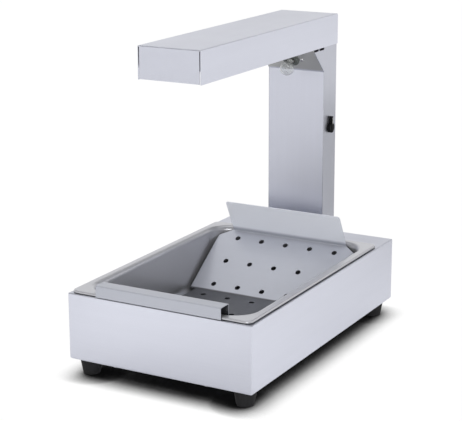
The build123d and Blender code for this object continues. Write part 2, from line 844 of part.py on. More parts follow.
with BuildPart() as rotary_switch:
    with BuildSketch(Plane.YZ.offset(column_inside - switch_depth)):
        with Locations(switch_middle):
            Rectangle(switch_size, switch_size)
    extrude(amount=switch_depth)
    with BuildSketch(Plane.YZ.offset(column_inside)):
        with Locations(switch_middle):
            Circle(bushing_diameter / 2)
    extrude(amount=bushing_length)
    with BuildSketch(Plane.YZ.offset(bushing_end)):
        with Locations(switch_middle):
            Circle(shaft_diameter / 2 + running_gap)
    extrude(amount=shaft_start - seat_gap - bushing_end, mode=Mode.SUBTRACT)
save(rotary_switch, "rotary_switch")

with BuildPart() as switch_nut:
    with BuildSketch(Plane.YZ.offset(column_side_x)):
        with Locations(switch_middle):
            RegularPolygon(hexagon_radius(nut_across_flats), 6)
            Circle(bushing_diameter / 2 + running_gap, mode=Mode.SUBTRACT)
    extrude(amount=nut_thickness)
save(switch_nut, "switch_nut")

with BuildPart() as switch_shaft:
    with BuildSketch(Plane.YZ.offset(shaft_start)):
        with Locations(switch_middle):
            Circle(shaft_diameter / 2)
    extrude(amount=recess_end + knob_grip - shaft_start)
save(switch_shaft, "switch_shaft")

pointer_outline = [
    (-pointer_width / 2, 0),
    (-pointer_tip_width / 2, pointer_reach),
    (pointer_tip_width / 2, pointer_reach),
    (pointer_width / 2, 0),
    (pointer_width / 2, knob_edge_radius - knob_diameter / 2),
    (-pointer_width / 2, knob_edge_radius - knob_diameter / 2),
]
with BuildPart() as switch_knob:
    with BuildSketch(Plane.YZ.offset(knob_base)):
        with Locations(switch_middle):
            Circle(knob_diameter / 2)
    extrude(amount=knob_height)
    fillet(switch_knob.faces().sort_by(Axis.X)[-1].edges(), knob_edge_radius)
    with BuildSketch(Plane.YZ.offset(knob_base)):
        with Locations(switch_middle):
            Polygon(*pointer_outline, align=None)
    extrude(amount=pointer_height)
    fillet(switch_knob.faces().sort_by(Axis.X)[-1].edges(), knob_edge_radius)
    with BuildSketch(Plane.YZ.offset(knob_base)):
        with Locations(switch_middle):
            Circle(knob_recess_diameter / 2)
    extrude(amount=knob_recess_depth, mode=Mode.SUBTRACT)
    with BuildSketch(Plane.YZ.offset(recess_end)):
        with Locations(switch_middle):
            Circle(shaft_diameter / 2 + running_gap)
    extrude(amount=knob_grip, mode=Mode.SUBTRACT)
save(switch_knob, "switch_knob")

# Cord entry through the rear cover, with its lock nut inside
with BuildPart() as cable_gland:
    with BuildSketch(rear_plane):
        with Locations((0, z_gland)):
            RegularPolygon(hexagon_radius(gland_nut_across_flats), 6)
    extrude(amount=-gland_outside / 2)
    with BuildSketch(Plane.XZ.offset(-column_rear - gland_outside / 2)):
        with Locations((0, z_gland)):
            Circle(gland_thread_diameter / 2)
    extrude(amount=-gland_outside / 2)
    fillet(cable_gland.faces().sort_by(Axis.Y)[-1].edges(), gland_outside / 4)
    with BuildSketch(rear_plane):
        with Locations((0, z_gland)):
            Circle(gland_thread_diameter / 2)
    extrude(amount=gland_inside)
    with BuildSketch(Plane.XZ.offset(-column_rear - gland_outside)):
        with Locations((0, z_gland)):
            Circle(gland_bore_diameter / 2)
    extrude(amount=gland_outside + gland_inside, mode=Mode.SUBTRACT)
save(cable_gland, "cable_gland")

with BuildPart() as gland_locknut:
    with BuildSketch(Plane.XZ.offset(casing_sheet - column_rear)):
        with Locations((0, z_gland)):
            RegularPolygon(hexagon_radius(gland_nut_across_flats), 6)
            Circle(gland_thread_diameter / 2 + running_gap, mode=Mode.SUBTRACT)
    extrude(amount=gland_locknut_thickness)
save(gland_locknut, "gland_locknut")

# Terminal block and earth stud on the inside of the left panel
block_x = -column_inside + block_width / 2
z_block = z_deck + block_height
z_block_top = z_block + block_thickness
with BuildPart() as terminal_block:
    with BuildSketch(Plane.XY.offset(z_block)):
        with Locations((block_x, column_middle)):
            Rectangle(block_width, block_length)
    extrude(amount=block_thickness)
    for z, depth in ((z_block, block_entry_depth), (z_block_top, -block_entry_depth)):
        with BuildSketch(Plane.XY.offset(z)):
            with Locations((block_x, column_middle)):
                with GridLocations(0, block_pitch, 1, block_ways):
                    Circle(block_entry_diameter / 2)
        extrude(amount=depth, mode=Mode.SUBTRACT)
save(terminal_block, "terminal_block")

with BuildPart() as earth_stud:
    with BuildSketch(Plane.YZ.offset(-column_inside)):
        with Locations((column_middle, z_deck + stud_height)):
            Circle(stud_diameter / 2)
    extrude(amount=stud_length)
    with BuildSketch(Plane.YZ.offset(-column_inside)):
        with Locations((column_middle, z_deck + stud_height)):
            RegularPolygon(hexagon_radius(foot_nut_across_flats), 6)
    extrude(amount=foot_nut_height)
save(earth_stud, "earth_stud")


# Leads inside the column
def lead(*points):
    with BuildPart() as run:
        with BuildLine() as path:
            FilletPolyline(*points, radius=lead_bend_radius)
        with BuildSketch(Plane(path.line @ 0, z_dir=path.line % 0)):
            Circle(lead_diameter / 2)
        sweep(path=path.line)
    return run.part


z_entry = z_block_top - block_entry_depth
z_cross = z_block_top + lead_rise
z_switch_top = z_switch + switch_size / 2
switch_x = column_inside - switch_depth / 2
z_branch = z_head - 2 * lead_rise
lead_offset = switch_size / 4

with BuildPart() as switch_lead:
    add(
        lead(
            (block_x, column_middle - block_pitch, z_entry),
            (block_x, column_middle - block_pitch, z_cross),
            (switch_x, column_middle - block_pitch, z_cross),
            (switch_x, column_middle - block_pitch, z_switch - switch_size / 2),
        )
    )
save(switch_lead, "switch_lead")

with BuildPart() as element_leads:
    add(
        lead(
            (block_x, column_middle + block_pitch, z_entry),
            (block_x, column_middle + block_pitch, z_branch - lead_rise),
            (-hairpin, column_middle, z_branch),
            (-hairpin, column_middle, z_element),
            (-hairpin, element_rear, z_element),
        )
    )
    add(
        lead(
            (switch_x, column_middle + lead_offset, z_switch_top),
            (switch_x, column_middle + lead_offset, z_branch - lead_rise),
            (hairpin, column_middle, z_branch),
            (hairpin, column_middle, z_element),
            (hairpin, element_rear, z_element),
        )
    )
save(element_leads, "element_leads")

holder_back = lamp_plane.offset(-casing_sheet - holder_length)
lead_turn = lamp_plane.offset(-casing_sheet - holder_length - lead_bend_radius)
pin_x = cap_diameter / 2
with BuildPart() as lamp_leads:
    add(
        lead(
            (-pin_x, holder_back.origin.Y, holder_back.origin.Z),
            (-pin_x, lead_turn.origin.Y, lead_turn.origin.Z),
            (-pin_x, column_middle, lead_turn.origin.Z),
            (-pin_x, column_middle, z_cross + lead_rise),
            (block_x, column_middle, z_cross),
            (block_x, column_middle, z_entry),
        )
    )
    add(
        lead(
            (pin_x, holder_back.origin.Y, holder_back.origin.Z),
            (pin_x, lead_turn.origin.Y, lead_turn.origin.Z),
            (pin_x, column_middle, lead_turn.origin.Z),
            (pin_x, column_middle, z_switch_top + 2 * lead_rise),
            (switch_x, column_middle - lead_offset, z_switch_top + lead_rise),
            (switch_x, column_middle - lead_offset, z_switch_top),
        )
    )
save(lamp_leads, "lamp_leads")
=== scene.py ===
import math
from itertools import product

import bmesh
import bpy
from bpy.props import FloatProperty, FloatVectorProperty, IntProperty, PointerProperty
from mathutils import Matrix, Vector


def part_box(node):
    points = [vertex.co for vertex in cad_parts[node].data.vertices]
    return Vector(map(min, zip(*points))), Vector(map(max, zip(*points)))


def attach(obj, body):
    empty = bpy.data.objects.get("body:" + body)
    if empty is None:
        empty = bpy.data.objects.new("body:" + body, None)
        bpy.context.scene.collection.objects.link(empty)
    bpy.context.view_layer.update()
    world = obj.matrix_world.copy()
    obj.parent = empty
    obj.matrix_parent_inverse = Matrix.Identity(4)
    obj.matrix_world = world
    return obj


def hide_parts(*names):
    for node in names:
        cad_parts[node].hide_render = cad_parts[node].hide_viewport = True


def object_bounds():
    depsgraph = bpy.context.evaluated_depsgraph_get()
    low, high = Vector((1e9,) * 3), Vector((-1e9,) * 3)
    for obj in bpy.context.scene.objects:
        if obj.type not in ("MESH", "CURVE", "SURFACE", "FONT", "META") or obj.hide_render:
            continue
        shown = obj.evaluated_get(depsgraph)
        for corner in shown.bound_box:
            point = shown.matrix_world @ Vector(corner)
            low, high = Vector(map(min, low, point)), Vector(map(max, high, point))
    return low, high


bl_info = {
    "name": "Fry Warmer Dresser",
    "version": (1, 0, 0),
    "blender": (4, 5, 0),
    "location": "3D View > Sidebar > Warmer",
    "description": "Finishes, small hardware and a studio stage for a stainless fry warmer",
    "category": "Object",
}

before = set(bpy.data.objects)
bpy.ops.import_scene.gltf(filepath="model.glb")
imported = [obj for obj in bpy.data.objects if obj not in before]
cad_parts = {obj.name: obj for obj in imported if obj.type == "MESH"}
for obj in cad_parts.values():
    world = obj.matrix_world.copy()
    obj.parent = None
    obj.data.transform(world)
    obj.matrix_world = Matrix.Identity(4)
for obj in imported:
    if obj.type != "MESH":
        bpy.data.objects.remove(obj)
CAD_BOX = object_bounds()
MM = 0.001
UP = Vector((0, 0, 1))


# Settings that a user would change

def shade(name, about, colour):
    """A colour property of a finish."""
    return FloatVectorProperty(
        name=name, description=about, default=colour, size=3, min=0.0, max=1.0, subtype="COLOR"
    )


def share(name, about, value):
    """A property between nothing and full."""
    return FloatProperty(name=name, description=about, default=value, min=0.0, max=1.0, subtype="FACTOR")


def length(name, about, metres):
    """A length property in metres."""
    return FloatProperty(
        name=name, description=about, default=metres, min=0.0, subtype="DISTANCE", unit="LENGTH"
    )


def amount(name, about, value, unit="NONE"):
    """A property for a power, a slope or a focal length."""
    return FloatProperty(name=name, description=about, default=value, min=0.0, unit=unit)


def count(name, about, value):
    """A property for a whole number of sides or turns."""
    return IntProperty(name=name, description=about, default=value, min=4)


class WarmerSteel(bpy.types.PropertyGroup):
    """Colours and sheen of the sheet metal."""

    casing_colour: shade("Casing", "Satin stainless of base, column and head", (0.705, 0.720, 0.803))
    casing_roughness: share("Casing roughness", "Sheen of the satin sheet", 0.34)
    pan_colour: shade("Pan", "Drawn stainless of the fry pan", (0.470, 0.473, 0.501))
    pan_roughness: share("Pan roughness", "Sheen of the drawn pan", 0.31)
    pan_matt: share("Pan matt", "Share of the drawn pan that is matt", 0.35)
    insert_colour: shade("Insert", "Perforated sheet of the drain insert", (0.489, 0.505, 0.564))
    insert_roughness: share("Insert roughness", "Sheen of the perforated sheet", 0.34)
    insert_matt: share("Insert matt", "Share of the perforated sheet that is matt", 0.55)
    # Painted shade: how dark the insert's floor is made
    insert_floor_shade: share("Insert stain", "How dark use has made the perforated floor", 0.76)
    # Painted shade on the insert's hook
    hook_shade: share("Hook tone", "How light the handled hook is beside the insert", 0.88)
    # Painted light on the flap's front face, which is also made more matt
    flap_painted_light: shade("Flap front", "Face of the flap that has stayed clean", (0.920, 0.942, 1.000))
    flap_matt: share("Flap matt", "Share of the flap's clean face that is matt", 0.75)
    # Painted light: a lighter copy of the casing colour on the column's front
    column_painted_light: shade("Column front", "Satin stainless of the column's front", (0.748, 0.763, 0.851))
    column_roughness: share("Column roughness", "Sheen of the column's front, dulled by heat", 0.48)
    # Painted shade: a darker copy of the casing colour on the column's sides
    side_shade: share("Column sides", "How light the column's sides are beside the casing", 0.78)
    # Painted shade on the haunch under the head
    haunch_shade_colour: shade("Heated steel", "Haunch, dulled by the heater", (0.590, 0.590, 0.580))
    grain_length: length("Grain length", "Length of one stroke of the satin belt", 0.060)
    grain_width: length("Grain width", "Width of one stroke of the satin belt", 0.0006)
    grain_depth: share("Grain depth", "How strongly the strokes bend the light", 0.10)


class WarmerFittings(bpy.types.PropertyGroup):
    """Colours of the fittings."""

    rubber: shade("Rubber", "Moulded rubber of the feet", (0.009, 0.009, 0.010))
    phenolic: shade("Phenolic", "Pressed phenolic of the knob", (0.004, 0.004, 0.005))
    lamp_ring: shade("Lamp ring", "Grey moulding of the lamp's ring", (0.085, 0.095, 0.088))
    lamp_cap: shade("Lamp cap", "Nickel plate of the lamp's cap", (0.56, 0.56, 0.53))
    bulb: shade("Bulb", "Slightly hazy glass of the bulb", (0.95, 0.96, 0.96))
    index_line: shade("Index line", "Filled line on the knob's pointer", (0.78, 0.78, 0.76))
    nylon: shade("Nylon", "Nylon of the cable gland", (0.018, 0.018, 0.020))
    fastener: shade("Fasteners", "Bright plated screws, bolts and nuts", (0.60, 0.60, 0.62))
    aluminium: shade("Reflector", "Rolled aluminium of the reflector", (0.84, 0.84, 0.85))
    sheath: shade("Element sheath", "Oxidised sheath of the heating element", (0.105, 0.098, 0.094))
    bracket: shade("Brackets", "Plated steel of the element brackets", (0.50, 0.50, 0.51))
    ceramic: shade("Ceramic", "Steatite of the bushes and the lamp holder", (0.72, 0.69, 0.62))
    brass: shade("Brass", "Brass of the earth stud", (0.66, 0.50, 0.26))
    moulding: shade("Mouldings", "Moulded body of the switch", (0.050, 0.051, 0.054))
    terminal: shade("Terminal block", "Polyamide of the terminal block", (0.70, 0.70, 0.68))
    sleeve: shade("Leads", "Glass fibre sleeve of the leads", (0.60, 0.57, 0.50))


class WarmerDetails(bpy.types.PropertyGroup):
    """Sizes of the small forms added to the part."""

    recess_length: length("Recess length", "Across the cross recess of a screw head", 4.6 * MM)
    recess_width: length("Recess width", "Width of one arm of the cross recess", 1.0 * MM)
    recess_depth: length("Recess depth", "Depth of the cross recess", 1.7 * MM)
    screw_steps: count("Screw steps", "Sides of a round screw head", 28)
    haunch: length("Haunch", "How far the column's haunch comes forward", 45.5 * MM)
    # How far up from the insert's foot the painted shade on its floor reaches
    floor_shade_height: length("Stain height", "How far the stain reaches up from the insert's foot", 12.0 * MM)
    # How far back from the insert's front the painted shade on the hook reaches
    hook_reach: length("Hook reach", "How far the handled hook reaches back from its front", 23.0 * MM)
    filament_turns: count("Filament turns", "Turns of the lamp's filament", 26)
    filament_span: length("Filament span", "Distance between the filament's posts", 9.0 * MM)
    line_width: length("Line width", "Width of the line on the knob", 0.9 * MM)
    line_length: length("Line length", "Length of the line on the knob", 12.0 * MM)


class WarmerStage(bpy.types.PropertyGroup):
    """Camera, floor and light."""

    camera_place: FloatVectorProperty(
        name="Camera", description="Where the camera stands",
        default=(1.18003761, -2.14869668, 0.90021297), size=3, subtype="TRANSLATION", unit="LENGTH",
    )
    camera_turn: FloatVectorProperty(
        name="Camera turn", description="Yaw, look down and roll of the camera",
        default=(0.508371707, 0.262912814, -0.0029910931), size=3, unit="ROTATION",
    )
    lens: amount("Lens", "Focal length in millimetres", 114.056, "CAMERA")
    floor_radius: length("Floor", "Radius of the floor", 16.0)
    floor_paint: share("Floor paint", "Share of light that the floor throws back", 0.64)
    pool_rear: share("Rear pool", "Level of the pool of light on the far floor behind", 0.44)
    pool_front: share("Front pool", "Level of the pool of light on the floor in front", 0.34)
    pool_right: share("Right pool", "Level of the pool of light on the floor to the right", 0.24)
    flag_level: share("Flag", "Level of the grey flag that the column's side mirrors", 0.55)
    # Settings of the floor's painted contact shadow
    shadow_reach: length("Shadow reach", "How far the contact shadow spreads", 0.045)
    shadow_start: share("Shadow start", "Openness below which the contact shadow is black", 0.48)
    shadow_fall: amount("Shadow fall", "Steepness of the contact shadow", 1.72)
    shadow_side: amount("Shadow side", "How far the sides look outwards for light", 4.1)
    shadow_left: share("Shadow left", "How far the contact shadow looks to the left for light", 0.18)
    shadow_back: share("Shadow back", "How far the contact shadow looks to the back for light", 0.14)
    room_light: share("Room light", "Level of the room on matt surfaces", 1.0)
    wall_front: share("Front wall", "How bright the wall in front shows in the steel", 0.50)
    wall_rear: share("Rear wall", "How bright the wall behind shows in the steel", 1.0)
    ceiling_level: share("Ceiling", "How bright the ceiling shows in the steel", 0.10)
    key_power: amount("Key", "Power of the front soft box in watts", 4.1, "POWER")
    fill_power: amount("Fill", "Power of the low fill box in watts", 24.0, "POWER")
    top_power: amount("Top", "Power of the top soft box in watts", 19.5, "POWER")


# Meshes, with profiles as radius and height pairs in millimetres

SCREW_HEAD = ((0, 2.6), (1.3, 2.55), (2.3, 2.32), (3.1, 1.86), (3.7, 1.2), (3.95, 0.6), (4.0, 0.0))
SCREW_SHANK = ((2.0, 0.0), (2.0, -7.4), (1.4, -8.0), (0, -8.0))
RECESS_TAPER = (0.45, 0.7, 1.0)
LAMP_STEM = (
    (0, 3.5), (5.2, 3.5), (4.2, 4.6), (2.2, 6.6), (1.7, 9.5), (1.9, 12.6), (1.2, 13.6), (0, 13.9),
)
LAMP_AIM = Vector((0, -1, -1)).normalized()
RING_RISE = 1.5 * MM


def spun(profile, steps):
    """A closed round shape from a profile, turned about the local Z axis."""
    bm = bmesh.new()
    verts = [bm.verts.new((radius * MM, 0, height * MM)) for radius, height in profile]
    edges = [bm.edges.new(pair) for pair in zip(verts, verts[1:])]
    bmesh.ops.spin(
        bm, geom=verts + edges, cent=(0, 0, 0), axis=UP, dvec=(0, 0, 0),
        angle=math.tau, steps=steps, use_merge=True, use_duplicate=False,
    )
    bmesh.ops.remove_doubles(bm, verts=bm.verts, dist=1e-6)
    bmesh.ops.recalc_face_normals(bm, faces=bm.faces)
    return bm


def facing(place, direction, turn=0.0):
    """The matrix that stands a local Z axis at a place in a direction."""
    aim = Vector(direction).to_track_quat("Z", "Y").to_matrix().to_4x4()
    return Matrix.Translation(Vector(place)) @ aim @ Matrix.Rotation(turn, 4, "Z")


def corners(node):
    """The two ends of a node's box."""
    low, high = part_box(node)
    return Vector(low), Vector(high)


def lamp_seat():
    """The middle of the haunch's lower face, where the lamp's axis comes out."""
    low, high = corners("lamp_ring")
    return (low + high) / 2 - LAMP_AIM * RING_RISE


def as_mesh(bm, name):
    """A mesh from a bmesh, smooth apart from its sharp edges."""
    mesh = bpy.data.meshes.new(name)
    bm.to_mesh(mesh)
    bm.free()
    mesh.shade_smooth()
    mesh.set_sharp_from_angle(angle=math.radians(38))
    return mesh


def piece(name, mesh, material, body, stands_for=()):
    """A new piece that rides on a body, with its finish and the nodes it stands for."""
    obj = bpy.data.objects.new(name, mesh)
    bpy.context.collection.objects.link(obj)
    mesh.materials.clear()
    mesh.materials.append(material)
    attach(obj, body)
    if stands_for:
        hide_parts(*stands_for)
    return obj


def cut(mesh, cutter, name):
    """A mesh less a cutter."""
    body = bpy.data.objects.new(name, mesh)
    tool = bpy.data.objects.new(name + "_tool", cutter)
    for obj in (body, tool):
        bpy.context.collection.objects.link(obj)
    step = body.modifiers.new("cut", "BOOLEAN")
    step.operation = "DIFFERENCE"
    step.solver = "EXACT"
    step.use_self = True
    step.object = tool
    bpy.context.view_layer.update()
    result = bpy.data.meshes.new_from_object(body.evaluated_get(bpy.context.evaluated_depsgraph_get()))
    for obj in (body, tool):
        bpy.data.objects.remove(obj)
    if not result.polygons:
        raise RuntimeError("The cut left nothing of " + name)
    return result


def screw_mesh(details):
    """One pan head screw with a cross recess, its seat at the origin and its head along local Z."""
    blank = as_mesh(spun(SCREW_HEAD + SCREW_SHANK, details.screw_steps), "screw_blank")
    size = (details.recess_length, details.recess_width, 2 * details.recess_depth)
    bm = bmesh.new()
    for turn in (0, math.pi / 2):
        blade = bmesh.ops.create_cube(bm, size=1.0)["verts"]
        bmesh.ops.scale(bm, verts=blade, vec=size)
        low = [vert for vert in blade if vert.co.z < 0]
        bmesh.ops.scale(bm, verts=low, vec=RECESS_TAPER)
        bmesh.ops.rotate(bm, verts=blade, cent=(0, 0, 0), matrix=Matrix.Rotation(turn, 3, "Z"))
    bmesh.ops.translate(bm, verts=bm.verts, vec=(0, 0, SCREW_HEAD[0][1] * MM))
    return cut(blank, as_mesh(bm, "recess_tool"), "screw")


def scattered(template, places, name):
    """Copies of one mesh at several matrices, as one mesh."""
    bm = bmesh.new()
    for place in places:
        known = len(bm.verts)
        bm.from_mesh(template)
        bm.verts.ensure_lookup_table()
        bmesh.ops.transform(bm, matrix=place, verts=bm.verts[known:])
    return as_mesh(bm, name)


def rod(bm, start, end, radius, sides=10):
    """A closed round rod between two points of a bmesh."""
    start, end = Vector(start), Vector(end)
    place = facing((start + end) / 2, end - start)
    bmesh.ops.create_cone(
        bm, cap_ends=True, segments=sides, radius1=radius, radius2=radius,
        depth=(end - start).length, matrix=place,
    )


def filament(details):
    """The lamp's coiled wire across two posts, and the hook that carries its middle, along local Z."""
    wire_radius, coil_radius, post_radius, hook_radius = 0.16 * MM, 0.7 * MM, 0.28 * MM, 0.18 * MM
    foot, hook_foot, knee, top = 12.5 * MM, 13.0 * MM, 18.0 * MM, 21.0 * MM
    foot_spread, lap = 1.1 * MM, 0.5 * MM
    sides = 6
    half = details.filament_span / 2
    steps = details.filament_turns * 12
    wire = bmesh.new()
    ring = bmesh.ops.create_circle(wire, cap_ends=False, segments=sides, radius=wire_radius)["verts"]
    bmesh.ops.translate(wire, verts=ring, vec=(coil_radius, 0, 0))
    edges = list({edge for vert in ring for edge in vert.link_edges})
    bmesh.ops.rotate(wire, verts=ring, cent=(0, 0, 0), matrix=Matrix.Rotation(math.pi / 2, 3, "X"))
    bmesh.ops.spin(
        wire, geom=ring + edges, cent=(0, 0, 0), axis=UP, dvec=(0, 0, 2 * half / steps),
        angle=math.tau * details.filament_turns, steps=steps, use_merge=False, use_duplicate=False,
    )
    ends = [edge for edge in wire.edges if edge.is_boundary]
    bmesh.ops.holes_fill(wire, edges=ends, sides=sides)
    lie = Matrix.Translation((-half, 0, top)) @ Matrix.Rotation(math.pi / 2, 4, "Y")
    bmesh.ops.transform(wire, matrix=lie, verts=wire.verts)
    for side in (-1, 1):
        bend = (side * half, 0, knee)
        rod(wire, (side * foot_spread, 0, foot), bend, post_radius)
        rod(wire, bend, (side * half, 0, top + lap), post_radius)
    rod(wire, (0, 0, hook_foot), (0, lap, top - lap), hook_radius)
    bmesh.ops.recalc_face_normals(wire, faces=wire.faces)
    return wire


# Finishes

# Cells in a metre along and across the broad bands of satin steel, and how its strokes change the roughness
BANDS = (3.0, 60.0)
STROKE_SHEEN = (-0.035, 0.045)
# How far a crevice's painted shade reaches, how dark it gets, and how open the surface is at its darkest
# and at its end
CREVICE_REACH, CREVICE_SHADE = 30 * MM, 0.10
SHEET_CREVICE, PAN_CREVICE = (0.42, 0.55), (0.3, 0.6)
# How far the edge of the insert's painted floor shade wavers and how wide it is, and how wide the edges of
# the flap's painted light, the hook's painted shade and the haunch's painted shade are
FLOOR_SHADE_WAVER, FLOOR_SHADE_EDGE = 0.4 * MM, 1.0 * MM
FLAP_EDGE, HOOK_EDGE = 6.0 * MM, 1.5 * MM
HAUNCH_SHADE_EDGE = (4.0 * MM, 1.0 * MM)
# Where along the insert the flap's painted light can start, and how far a face leans that counts as the
# flap's front
FLAP_DEPTH, FLAP_LEAN = (0.0, 0.1), (-0.6, -0.3)
# How far down the pan's rim its painted light reaches, and how much lighter it is
RIM_LIGHT_DEPTH, RIM_PAINTED_LIGHT = 2.5 * MM, 1.18
# Colours that belong to the metal and not to a user's choice
HEAT_TINT = (0.17, 0.135, 0.11)
TUNGSTEN = (0.34, 0.34, 0.35)


def tinted(colour, factor):
    """A colour made lighter or darker."""
    return tuple(min(1.0, part * factor) for part in colour)


class Nodes:
    """Strings shader nodes together in one tree."""

    def __init__(self, tree, space):
        self.tree = tree
        self.coords = self.add("ShaderNodeTexCoord").outputs[space]

    def add(self, kind, **settings):
        """A node with its settings."""
        node = self.tree.nodes.new(kind)
        for key, value in settings.items():
            setattr(node, key, value)
        return node

    def feed(self, socket, value):
        """Links a socket to another or sets it."""
        if isinstance(value, bpy.types.NodeSocket):
            self.tree.links.new(value, socket)
        else:
            socket.default_value = value

    def fill(self, node, **values):
        """Feeds sockets of a node by their names, with spaces for underscores."""
        for key, value in values.items():
            self.feed(node.inputs[key.replace("_", " ")], value)

    def axes(self, vector=None):
        """The three parts of a vector, or else of the coordinates."""
        node = self.add("ShaderNodeSeparateXYZ")
        self.fill(node, Vector=vector or self.coords)
        return node.outputs["X"], node.outputs["Y"], node.outputs["Z"]

    def noise(self, scale, detail=2.0, stretch=(1, 1, 1)):
        """Noise with so many cells in a metre, stretched along the axes."""
        place = self.add("ShaderNodeMapping")
        self.fill(place, Vector=self.coords, Scale=stretch)
        cloud = self.add("ShaderNodeTexNoise")
        self.fill(cloud, Vector=place.outputs["Vector"], Scale=scale, Detail=detail, Roughness=0.55)
        return cloud.outputs["Fac"]

    def grain(self, along, lengthwise, across, detail):
        """Noise with so many cells in a metre along one axis and across it."""
        stretch = [lengthwise if axis == along else across for axis in "XYZ"]
        return self.noise(1.0, detail, stretch)

    def level(self, factor, low, high, start=0.3, end=0.7, rise="LINEAR"):
        """A number between low and high that follows a factor from its start to its end."""
        node = self.add("ShaderNodeMapRange", interpolation_type=rise)
        self.fill(node, Value=factor, From_Min=start, From_Max=end, To_Min=low, To_Max=high)
        return node.outputs["Result"]

    def about(self, factor, middle, below, above):
        """A number from below to above a middle that follows a factor."""
        return self.level(factor, middle - below, middle + above)

    def blend(self, factor, low, high):
        """A colour between two that follows a factor."""
        node = self.add("ShaderNodeMix", data_type="RGBA")
        self.feed(node.inputs["Factor"], factor)
        ends = [socket for socket in node.inputs if socket.type == "RGBA"]
        for socket, colour in zip(ends, (low, high)):
            self.feed(socket, colour if isinstance(colour, bpy.types.NodeSocket) else (*colour, 1.0))
        return next(socket for socket in node.outputs if socket.type == "RGBA")

    def shades(self, factor, colour, dark, light):
        """A colour between two shades of itself that follows a factor."""
        return self.blend(factor, tinted(colour, dark), tinted(colour, light))

    def sum(self, operation, *values):
        """One sum of two numbers."""
        node = self.add("ShaderNodeMath", operation=operation)
        for socket, value in zip(node.inputs, values):
            self.feed(socket, value)
        return node.outputs["Value"]

    def seen(self, path):
        """1 for what the camera sees, straight or through glass."""
        return self.sum("MAXIMUM", path["Is Camera Ray"], path["Is Transmission Ray"])

    def hollow(self, closed, open_to):
        """How open the surface is: 0 in a crevice, 1 in the open."""
        node = self.add("ShaderNodeAmbientOcclusion", samples=8)
        self.fill(node, Distance=CREVICE_REACH)
        return self.level(node.outputs["AO"], 0.0, 1.0, closed, open_to)


class Finish(Nodes):
    """The nodes of one material."""

    def __init__(self, name):
        self.material = bpy.data.materials.new(name)
        self.material.use_nodes = True
        super().__init__(self.material.node_tree, "Object")
        self.shader = self.tree.nodes["Principled BSDF"]

    def surface(self, **values):
        """Feeds sockets of the shader."""
        self.fill(self.shader, **values)

    def bump(self, height, strength, depth):
        """Relief on the surface."""
        node = self.add("ShaderNodeBump")
        self.fill(node, Height=height, Strength=strength, Distance=depth)
        self.surface(Normal=node.outputs["Normal"])

    def show(self, socket):
        """Shows another shader in place of the first one."""
        self.fill(self.tree.nodes["Material Output"], Surface=socket)
        self.tree.nodes.remove(self.shader)


def satin_steel(name, colour, roughness, along, steel, painted_shading=None, haunch_shade=None):
    """Stainless sheet with belt strokes along one axis and soft handling marks.

    A sheet with painted shading gives the heights of its floor and its fold and the depth of its hook,
    a sheet with a shaded haunch the depth where the haunch's painted shade ends.
    """
    finish = Finish(name)
    strokes = finish.grain(along, 1 / steel.grain_length, 1 / steel.grain_width, 3.0)
    bands = finish.grain(along, *BANDS, 2.0)
    marks = finish.noise(6.0, 3.0)
    tone = finish.sum("ADD", finish.level(strokes, 0.0, 0.6), finish.level(bands, 0.0, 0.4))
    dull = finish.about(marks, roughness, 0.02, 0.03)
    paint = finish.shades(tone, colour, 0.975, 1.02)
    metal = 1.0
    # The insert's painted light and shade
    if painted_shading:
        paint, metal = insert_painted_shading(finish, colour, paint, marks, steel, *painted_shading)
    # Painted shade: the haunch takes the darker haunch colour up to its edge
    if haunch_shade:
        start, end = HAUNCH_SHADE_EDGE
        unshaded = finish.level(finish.axes()[1], 0.0, 1.0, haunch_shade - start, haunch_shade - end)
        paint = finish.blend(unshaded, steel.haunch_shade_colour, paint)
    sheen = finish.sum("ADD", finish.level(strokes, *STROKE_SHEEN), dull)
    finish.surface(Base_Color=paint, Metallic=metal, Roughness=sheen)
    finish.bump(strokes, steel.grain_depth * (0.4 if painted_shading else 1.0), 0.2 * MM)
    return finish.material


def insert_painted_shading(finish, colour, paint, marks, steel, floor, fold, hook):
    """The drain insert's painted shade on its floor, its hook and its crevices, and painted light on its
    flap's front.

    Returns its paint and how metallic it is.
    """
    _, depth, z = finish.axes()
    # Painted shade on the insert's floor, below a wavering height
    height = finish.sum("ADD", z, finish.level(marks, -FLOOR_SHADE_WAVER, FLOOR_SHADE_WAVER))
    unshaded = finish.level(height, 0.0, 1.0, floor, floor + FLOOR_SHADE_EDGE)
    paint = finish.blend(unshaded, tinted(colour, 1 - steel.insert_floor_shade), paint)
    # Painted shade on the hook, from the insert's front back to its reach
    behind_hook = finish.level(depth, 0.0, 1.0, hook, hook + HOOK_EDGE)
    paint = finish.blend(behind_hook, tinted(colour, steel.hook_shade), paint)
    # Painted light on the front face of the flap above the fold
    _, lean, _ = finish.axes(finish.add("ShaderNodeNewGeometry").outputs["True Normal"])
    rear_half = finish.level(depth, 0.0, 1.0, *FLAP_DEPTH)
    faces_front = finish.sum("MULTIPLY", rear_half, finish.level(lean, 1.0, 0.0, *FLAP_LEAN))
    above_fold = finish.level(height, 0.0, 1.0, fold, fold + FLAP_EDGE)
    flap = finish.sum("MULTIPLY", faces_front, above_fold)
    paint = finish.blend(flap, paint, steel.flap_painted_light)
    # Painted shade in the insert's crevices
    paint = finish.blend(finish.hollow(*SHEET_CREVICE), tinted(colour, CREVICE_SHADE), paint)
    return paint, finish.level(flap, 1 - steel.insert_matt, 1 - steel.flap_matt, 0.0, 1.0)


def casing_steel(name, along, steel):
    """Satin stainless in the casing's own colour and sheen."""
    return satin_steel(name, steel.casing_colour, steel.casing_roughness, along, steel)


